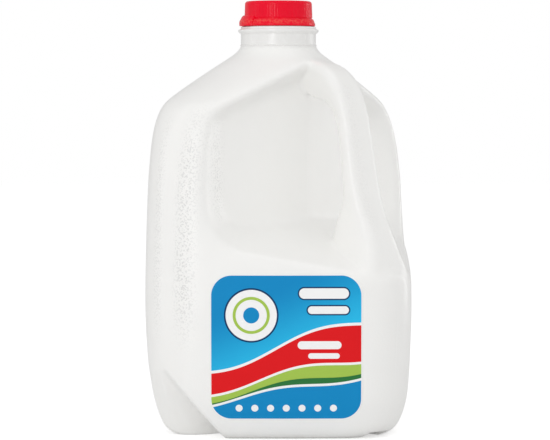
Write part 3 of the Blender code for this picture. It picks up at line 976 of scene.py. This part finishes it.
moulded_grain, grain_in, grain_out = new_group(
    "moulded_grain",
    [("Place", VECTOR, None), ("Grain Scale", FLOAT, None), ("Grain Depth", FLOAT, None),
     ("Wave Scale", FLOAT, None), ("Wave Depth", FLOAT, None)],
    [("Height", FLOAT), ("Tone", FLOAT), ("Flecks", FLOAT)],
)
grain = cloudy(moulded_grain, grain_in.outputs["Place"], grain_in.outputs["Grain Scale"], 2.0)
waves = cloudy(moulded_grain, grain_in.outputs["Place"], grain_in.outputs["Wave Scale"], 1.0)
fine_part = times(moulded_grain, grain, grain_in.outputs["Grain Depth"])
wave_part = times(moulded_grain, waves, grain_in.outputs["Wave Depth"])
feed(moulded_grain, grain_out.inputs["Height"], work_out(moulded_grain, "ADD", fine_part, wave_part))
feed(moulded_grain, grain_out.inputs["Tone"], waves)
feed(moulded_grain, grain_out.inputs["Flecks"], rise(moulded_grain, grain, *FLECK_RANGE))

# %% [markdown]
# ## The bottle's plastic
# Unpigmented polyethylene is milky by itself. Backed by milk it looks white, and
# above the milk's level it turns a little greyer. Its surface is satin. One corner
# has a fine beading in its bumps, and sparse grey specks are painted into its colour
# where that corner's highlights fall. This painted highlight speckle fades out
# towards the foot and the shoulder, and the handle has a trace of both. The parting line
# is a hair-thin ridge. A point's x and y added say how far it is off the parting plane.

# %% Colours and measures of the bottle's plastic
PLASTIC_FULL = (0.97, 0.965, 0.945, 1.0)
PLASTIC_EMPTY = (0.90, 0.895, 0.88, 1.0)
PLASTIC_CLOUD = (0.80, 0.80, 0.80, 1.0)
PLASTIC_CLOUD_RANGE = (0.3, 0.7)
PLASTIC_CLOUD_SHARE = 0.03
PLASTIC_ROUGHNESS = (0.285, 0.335)
PLASTIC_SHINE = 0.75
PLASTIC_GRAIN = {"Grain Scale": 980.0, "Wave Scale": 55.0, "Wave Depth": 0.0006}
PLASTIC_GRAIN_DEPTH = 0.00007
LEVEL_BLUR = 0.002
SEAM_HALF_WIDTH = 0.0008
SEAM_HEIGHT = 0.00006
BEAD_DEPTH = 0.00034
BEAD_STRIP = (-0.0215, 0.0130)
BEAD_SIDE_STRIP = (0.004, 0.009)
BEAD_SIDE_SHARE = 0.6
BEAD_CORNER = (0.0015, 0.0022)
BEAD_FOOT = (0.045, 0.085)
BEAD_HEAD = (0.205, 0.155)
BEAD_BACK_TO_FRONT = (0.03, -0.03)
BEAD_BACK_SHARE = 0.10
GRIP_REACH = (-0.078, -0.086)
GRIP_FOOT = (0.105, 0.130)
GRIP_STRIP = (-0.007, 0.012)
GRIP_BEAD_SHARE = 0.7
GRIP_PAINTED_SPECK_SHARE = 0.2
# grey specks painted into the colour where the corner's highlights fall: a painted highlight speckle
PAINTED_SPECK_RANGE = (0.70, 1.0)
PAINTED_SPECK_SHARE = 0.68
PAINTED_SPECK_GREY = (0.70, 0.70, 0.69, 1.0)

# %% Mask where the bottle is beaded and where highlight specks are painted
plastic, tree, shader = new_finish("jug_plastic")
place = object_place(tree)
x, y, z = add_node(tree, "ShaderNodeSeparateXYZ", {0: place}).outputs
across = minus(tree, y, x)
off_plane = work_out(tree, "ADD", x, y)
at_corner = rise(tree, times(tree, x, y), *BEAD_CORNER)
at_corner = times(tree, at_corner, times(tree, rise(tree, z, *BEAD_FOOT), rise(tree, z, *BEAD_HEAD)))
in_front = rise(tree, off_plane, *BEAD_BACK_TO_FRONT)
in_front = work_out(tree, "MULTIPLY_ADD", in_front, 1.0 - BEAD_BACK_SHARE, BEAD_BACK_SHARE)
at_corner = times(tree, at_corner, in_front)
# the strips follow the corner's highlights; they set the bump's beading and the painted highlight specks
bead_and_highlight_strips = work_out(tree, "MULTIPLY_ADD", strip(tree, across, *BEAD_SIDE_STRIP), BEAD_SIDE_SHARE,
                       strip(tree, across, *BEAD_STRIP))
at_grip = times(tree, rise(tree, across, *GRIP_REACH), rise(tree, z, *GRIP_FOOT))
at_grip = times(tree, at_grip, strip(tree, off_plane, *GRIP_STRIP))
beaded = work_out(tree, "MULTIPLY_ADD", bead_and_highlight_strips, at_corner, times(tree, at_grip, GRIP_BEAD_SHARE))
painted_speck_mask = work_out(tree, "MULTIPLY_ADD", bead_and_highlight_strips, at_corner, times(tree, at_grip, GRIP_PAINTED_SPECK_SHARE))
print("masks:", len(tree.nodes), "nodes")

# %% Finish the bottle
depth = work_out(tree, "MULTIPLY_ADD", beaded, BEAD_DEPTH, PLASTIC_GRAIN_DEPTH)
skin = place_group(tree, moulded_grain, {"Place": place, "Grain Depth": depth, **PLASTIC_GRAIN})
above = rise(tree, z, MILK_LEVEL - LEVEL_BLUR, MILK_LEVEL + LEVEL_BLUR)
colour = mix_colours(tree, above, PLASTIC_FULL, PLASTIC_EMPTY)
cloud = rise(tree, skin.outputs["Tone"], *PLASTIC_CLOUD_RANGE)
colour = mix_colours(tree, times(tree, cloud, PLASTIC_CLOUD_SHARE), colour, PLASTIC_CLOUD)
# painted highlight speckle: grey specks mixed into the colour along the highlight strips
specks = times(tree, rise(tree, skin.outputs["Flecks"], *PAINTED_SPECK_RANGE), painted_speck_mask)
colour = mix_colours(tree, times(tree, specks, PAINTED_SPECK_SHARE), colour, PAINTED_SPECK_GREY)
feed(tree, shader.inputs["Base Color"], colour)
seam = times(tree, strip(tree, off_plane, 0.0, SEAM_HALF_WIDTH), SEAM_HEIGHT)
add_bump(tree, shader, work_out(tree, "ADD", skin.outputs["Height"], seam))
vary_roughness(tree, shader, skin.outputs["Tone"], *PLASTIC_ROUGHNESS)
shader.inputs["Specular IOR Level"].default_value = PLASTIC_SHINE
print("bottle finish:", len(tree.nodes), "nodes")

# %% [markdown]
# ## The milk's finish
# Milk scatters light so strongly that it is nearly white with a warm cast.

# %% Finish the milk
MILK_DARKER = (0.90, 0.885, 0.84, 1.0)
MILK_PALER = (0.93, 0.92, 0.88, 1.0)
MILK_FILM_SCALE = 90.0
MILK_RIPPLE_HEIGHT = 0.0004
MILK_RIPPLE_STRENGTH = 0.5
MILK_ROUGHNESS = 0.22
MILK_SCATTER = 0.4
MILK_SCATTER_REACH = (0.006, 0.005, 0.004)

milk_finish, tree, shader = new_finish("whole_milk")
film = cloudy(tree, object_place(tree), MILK_FILM_SCALE, 2.0)
add_bump(tree, shader, film, MILK_RIPPLE_HEIGHT, MILK_RIPPLE_STRENGTH)
set_up(tree, shader, {
    "Base Color": mix_colours(tree, film, MILK_DARKER, MILK_PALER),
    "Roughness": MILK_ROUGHNESS,
    "Subsurface Weight": MILK_SCATTER,
    "Subsurface Radius": MILK_SCATTER_REACH,
    "Subsurface Scale": 1.0,
})

# %% [markdown]
# ## The cap's plastic
# The cap is bright red right through, with a satin surface. Paler patches are painted
# on its band at the step, a painted glint where light catches the band.

# %% Finish the cap
CAP_DEEPER = (0.86, 0.002, 0.022, 1.0)
CAP_BRIGHTER = (0.94, 0.003, 0.028, 1.0)
CAP_PAINTED_GLINT = (0.93, 0.16, 0.11, 1.0)
CAP_GRAIN = {"Grain Scale": 800.0, "Grain Depth": 0.00008, "Wave Scale": 160.0, "Wave Depth": 0.00015}
CAP_ROUGHNESS = (0.19, 0.26)
CAP_SHINE = 0.16
GLINT_BELOW_TOP = 0.0020
GLINT_HALF_HEIGHT = 0.0026
GLINT_SHARE = 0.45

cap_finish, tree, shader = new_finish("cap_plastic")
place = object_place(tree)
skin = place_group(tree, moulded_grain, {"Place": place, **CAP_GRAIN})
height_up = add_node(tree, "ShaderNodeSeparateXYZ", {0: place}).outputs[2]
# painted glint: pale patches mixed into the band's colour at its step
on_band = strip(tree, height_up, BAND_TOP - GLINT_BELOW_TOP, GLINT_HALF_HEIGHT)
painted_glint = times(tree, on_band, times(tree, skin.outputs["Flecks"], GLINT_SHARE))
colour = mix_colours(tree, skin.outputs["Tone"], CAP_DEEPER, CAP_BRIGHTER)
feed(tree, shader.inputs["Base Color"], mix_colours(tree, painted_glint, colour, CAP_PAINTED_GLINT))
add_bump(tree, shader, skin.outputs["Height"])
vary_roughness(tree, shader, skin.outputs["Tone"], *CAP_ROUGHNESS)
shader.inputs["Specular IOR Level"].default_value = CAP_SHINE

# %% [markdown]
# ## The label's print
# The print is made of plain fields of colour: a blue ground, wavy bands of red
# and green that climb across it, and blue again below. A badge of rings, bars and
# a row of dots give it the busyness of a printed label. Each shape is a distance,
# in millimetres from the label's middle, turned into a mask with a thin soft edge.

# %% Print the label
MM = 1000.0
INK_EDGE = 0.12
PRINT_EDGE = 0.45


def inside(tree, distance):
    """A mask that is 1 where a signed distance is below 0."""
    return rise(tree, distance, INK_EDGE, -INK_EDGE)


def disc_distance(tree, x, z, middle, radius):
    """Signed distance to a round field."""
    dx = minus(tree, x, middle[0])
    dz = minus(tree, z, middle[1])
    squares = work_out(tree, "ADD", times(tree, dx, dx), times(tree, dz, dz))
    return minus(tree, work_out(tree, "SQRT", squares), radius)


def box_distance(tree, x, z, middle, half, corner):
    """Signed distance to a rounded rectangle."""
    parts = []
    for value, at, reach in ((x, middle[0], half[0]), (z, middle[1], half[1])):
        off = work_out(tree, "ABSOLUTE", minus(tree, value, at))
        over = work_out(tree, "MAXIMUM", minus(tree, off, reach - corner), 0.0)
        parts.append(times(tree, over, over))
    return minus(tree, work_out(tree, "SQRT", work_out(tree, "ADD", *parts)), corner)


def sweep(tree, x, level, slope, swing, length, shift):
    """The height over x of a wavy line that climbs to the right."""
    turn = work_out(tree, "ADD", work_out(tree, "DIVIDE", x, length), shift)
    line = work_out(tree, "MULTIPLY_ADD", work_out(tree, "SINE", turn), swing, level)
    return work_out(tree, "MULTIPLY_ADD", x, slope, line)


RED = (0.80, 0.010, 0.014, 1.0)
SKY_HIGH = (0.006, 0.27, 0.60, 1.0)
SKY_LOW = (0.03, 0.58, 0.93, 1.0)
GRASS = (0.40, 0.60, 0.09, 1.0)
GRASS_FAR = (0.03, 0.19, 0.05, 1.0)
PAPER = (0.98, 0.98, 0.98, 1.0)
NAVY = (0.004, 0.04, 0.13, 1.0)

SKY_SLANT = -0.45
SKY_RANGE = (-16.0, 38.0)
# each band fills all that is below its line: ink, level, slope, swing, length, shift
BANDS = (
    (PAPER, 2.0, 0.30, 4.0, 15.0, 0.4),
    (RED, 0.4, 0.30, 4.0, 15.0, 0.4),
    (PAPER, -15.0, 0.22, 3.0, 14.0, 1.1),
    (GRASS, -16.4, 0.22, 3.0, 14.0, 1.1),
    (GRASS_FAR, -21.4, 0.20, 2.4, 13.0, 1.6),
    (PAPER, -23.6, 0.18, 2.0, 13.0, 2.0),
    (SKY_HIGH, -25.0, 0.18, 2.0, 13.0, 2.0),
)
BADGE_MIDDLE = (-20.0, 18.5)
# each disc of the badge, the widest first: radius, ink
BADGE = ((15.6, NAVY), (14.6, PAPER), (10.6, GRASS), (8.9, PAPER), (4.6, SKY_HIGH))
# each bar: ink, middle, half its width and height
BARS = (
    (NAVY, (21.5, 31.0), (15.0, 3.8)),
    (PAPER, (21.5, 31.0), (14.2, 3.0)),
    (NAVY, (24.0, 21.5), (12.5, 3.0)),
    (PAPER, (24.0, 21.5), (11.7, 2.2)),
    (PAPER, (19.0, 1.4), (12.5, 2.3)),
    (PAPER, (21.5, -4.8), (9.0, 1.6)),
)
DOT_MIDDLE = (0.0, -35.0)
DOT_RADIUS = 2.0
DOT_HALF_STEP = 4.5
DOT_ROW_HALF = 31.0
FIBRE_SCALE = 500.0
FIBRE_HEIGHT = 0.00002
FIBRE_STRENGTH = 0.6
PRINT_ROUGHNESS = (0.38, 0.50)
PRINT_SHINE = 0.12

print_finish, tree, shader = new_finish("label_print")
place = object_place(tree)
in_mm = add_node(tree, "ShaderNodeMapping", {
    "Vector": place,
    "Scale": (MM, MM, MM),
    "Location": (-MM * LABEL_MIDDLE[0], 0.0, -MM * LABEL_MIDDLE[1]),
})
x, _, z = add_node(tree, "ShaderNodeSeparateXYZ", {0: in_mm.outputs[0]}).outputs
slant = work_out(tree, "MULTIPLY_ADD", x, SKY_SLANT, z)
colour = mix_colours(tree, rise(tree, slant, *SKY_RANGE), SKY_LOW, SKY_HIGH)
for ink, *line in BANDS:
    band = minus(tree, z, sweep(tree, x, *line))
    colour = mix_colours(tree, inside(tree, band), colour, ink)
for radius, ink in BADGE:
    disc = disc_distance(tree, x, z, BADGE_MIDDLE, radius)
    colour = mix_colours(tree, inside(tree, disc), colour, ink)
for ink, middle, half in BARS:
    bar = box_distance(tree, x, z, middle, half, half[1])
    colour = mix_colours(tree, inside(tree, bar), colour, ink)
in_row = work_out(tree, "WRAP", x, DOT_HALF_STEP, -DOT_HALF_STEP)
past_row = minus(tree, work_out(tree, "ABSOLUTE", x), DOT_ROW_HALF)
dots = work_out(tree, "MAXIMUM", disc_distance(tree, in_row, z, DOT_MIDDLE, DOT_RADIUS), past_row)
colour = mix_colours(tree, inside(tree, dots), colour, PAPER)
border_half = (MM * LABEL_WIDTH / 2 - PRINT_EDGE, MM * LABEL_HEIGHT / 2 - PRINT_EDGE)
border = box_distance(tree, x, z, (0.0, 0.0), border_half, MM * LABEL_CORNER - PRINT_EDGE)
colour = mix_colours(tree, inside(tree, border), PAPER, colour)
feed(tree, shader.inputs["Base Color"], colour)
fibre = cloudy(tree, place, FIBRE_SCALE, 3.0)
vary_roughness(tree, shader, fibre, *PRINT_ROUGHNESS)
shader.inputs["Specular IOR Level"].default_value = PRINT_SHINE
add_bump(tree, shader, fibre, FIBRE_HEIGHT, FIBRE_STRENGTH)
print("label finish:", len(tree.nodes), "nodes")

# %% [markdown]
# ## Put it together
# Each new piece rides on the model's one body, takes its finish and stands for its
# node, which is hidden.

# %% Ride, replace and finish
for piece, node_name, slot_name, finish in (
    (bottle, "jug_bottle", "hdpe", plastic),
    (milk, "milk", "milk", milk_finish),
    (cap, "cap", "cap_red", cap_finish),
    (label, "label", "label_film", print_finish),
):
    piece.data.materials.clear()
    piece.data.materials.append(finish)
    marks = piece.data.attributes.get("place")
    if marks is not None:
        piece.data.attributes.remove(marks)
    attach(piece, "root")
    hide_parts(node_name)

# %% [markdown]
# ## The studio
# The jug stands on a white floor under a large soft light. Narrow upright strips
# draw the long highlights down its corners. Two small spots shine from the right
# through the gap behind the handle and lighten the scoop's far wall. The floor is
# whiter to the camera than to the jug, so that it doesn't glow from below.

# %% Lay the floor
WHITE = (1.0, 1.0, 1.0, 1.0)
FLOOR_SIZE = 8.0
FLOOR_ROUGHNESS = 0.8
FLOOR_BOUNCE = 0.11
FLOOR_WHITE = 0.40
FLOOR_UNSEEN = (0.75, 0.75, 0.75, 1.0)
FLOOR_SEEN = (0.92, 0.92, 0.92, 1.0)

put_down_all()
bpy.ops.mesh.primitive_plane_add(size=FLOOR_SIZE, location=(0.0, 0.0, 0.0))
floor = bpy.context.object
floor.name = "floor"
floor_finish, tree, shader = new_finish("floor_paper")
seen = add_node(tree, "ShaderNodeLightPath").outputs["Is Camera Ray"]
set_up(tree, shader, {
    "Base Color": mix_colours(tree, seen, FLOOR_UNSEEN, FLOOR_SEEN),
    "Roughness": FLOOR_ROUGHNESS,
    "Emission Color": WHITE,
    "Emission Strength": mix_numbers(tree, seen, FLOOR_BOUNCE, FLOOR_WHITE),
})
floor.data.materials.append(floor_finish)

# %% Set up the lights
JUG_MIDDLE = (0.0, 0.0, 0.13)
# name, place, aim, width and height, power
SOFTBOXES = (
    ("top_light", (0.0, -0.2, 1.3), (0.0, 0.0, 0.1), (1.4, 1.0), 1.7),
    ("left_strip", (-0.43, -1.12, 0.30), JUG_MIDDLE, (0.09, 0.60), 1.9),
    ("side_strip", (-1.2, -0.10, 0.30), JUG_MIDDLE, (0.12, 0.60), 0.45),
    ("right_strip", (1.04, -0.60, 0.30), JUG_MIDDLE, (0.12, 0.60), 0.12),
    ("behind_strip", (0.86, 0.50, 0.24), (0.0, 0.0, 0.15), (0.12, 0.50), 0.7),
)
# name, place, aim, power
SPOTS = (
    ("gap_light", (1.0, -0.08, 0.22), (0.024, -0.020, 0.150), 1.3),
    ("gap_light_behind", (0.86, 0.50, 0.24), (0.026, -0.022, 0.150), 3.2),
)
SPOT_CONE = math.radians(9.0)
SPOT_SOFTNESS = 0.06


def hang_light(lamp, place, aim):
    """Put a lamp at a place, pointing at another."""
    light = bpy.data.objects.new(lamp.name, lamp)
    bpy.context.collection.objects.link(light)
    light.location = place
    light.rotation_euler = (Vector(aim) - Vector(place)).to_track_quat("-Z", "Y").to_euler()
    return light


for name, place, aim, size, power in SOFTBOXES:
    lamp = bpy.data.lights.new(name, "AREA")
    lamp.shape = "RECTANGLE"
    lamp.size, lamp.size_y = size
    lamp.energy = power
    hang_light(lamp, place, aim).visible_camera = False
for name, place, aim, power in SPOTS:
    lamp = bpy.data.lights.new(name, "SPOT")
    lamp.energy = power
    lamp.spot_size = SPOT_CONE
    lamp.spot_blend = 1.0
    lamp.shadow_soft_size = SPOT_SOFTNESS
    hang_light(lamp, place, aim).visible_glossy = False
print("lights:", len(SOFTBOXES) + len(SPOTS))

# %% [markdown]
# ## The sky of the studio
# The air round the jug is white to the camera. What the jug itself is lit by is
# bright in front and darker behind, which draws a fine grey rim along its edges
# and keeps white plastic readable on a white ground.

# %% Light from all round
SKY_FRONT = 0.77
SKY_BEHIND = 0.545
SKY_TURNS_OVER = (-0.4, 0.6)

world = bpy.context.scene.world or bpy.data.worlds.new("studio")
bpy.context.scene.world = world
world.use_nodes = True
tree = world.node_tree
sky = tree.nodes["Background"]
way = add_node(tree, "ShaderNodeSeparateXYZ", {0: add_node(tree, "ShaderNodeTexCoord").outputs["Generated"]})
front, back = SKY_TURNS_OVER
sky_range = {0: way.outputs[1], 1: front, 2: back, 3: SKY_FRONT, 4: SKY_BEHIND}
lit_by = add_node(tree, "ShaderNodeMapRange", sky_range).outputs[0]
seen = add_node(tree, "ShaderNodeLightPath").outputs["Is Camera Ray"]
sky.inputs["Color"].default_value = WHITE
feed(tree, sky.inputs["Strength"], mix_numbers(tree, seen, lit_by, 1.0))
bpy.context.scene.view_settings.view_transform = "Standard"

# %% [markdown]
# ## The camera
# The camera stands as high as the shoulder and is tilted down a little, with a
# long lens that hardly bends the jug's upright lines.

# %% Camera
CAMERA_PLACE = (0.0, -1.5, 0.1989)
CAMERA_TILT = math.radians(87.11)
CAMERA_LENS = 163.8
CAMERA_SHIFT = -0.0062
SENSOR_WIDTH = 36.0

lens = bpy.data.cameras.new("camera")
lens.sensor_width = SENSOR_WIDTH
lens.lens = CAMERA_LENS
lens.shift_x = CAMERA_SHIFT
camera = bpy.data.objects.new("camera", lens)
bpy.context.collection.objects.link(camera)
camera.location = CAMERA_PLACE
camera.rotation_euler = (CAMERA_TILT, 0.0, 0.0)
bpy.context.scene.camera = camera
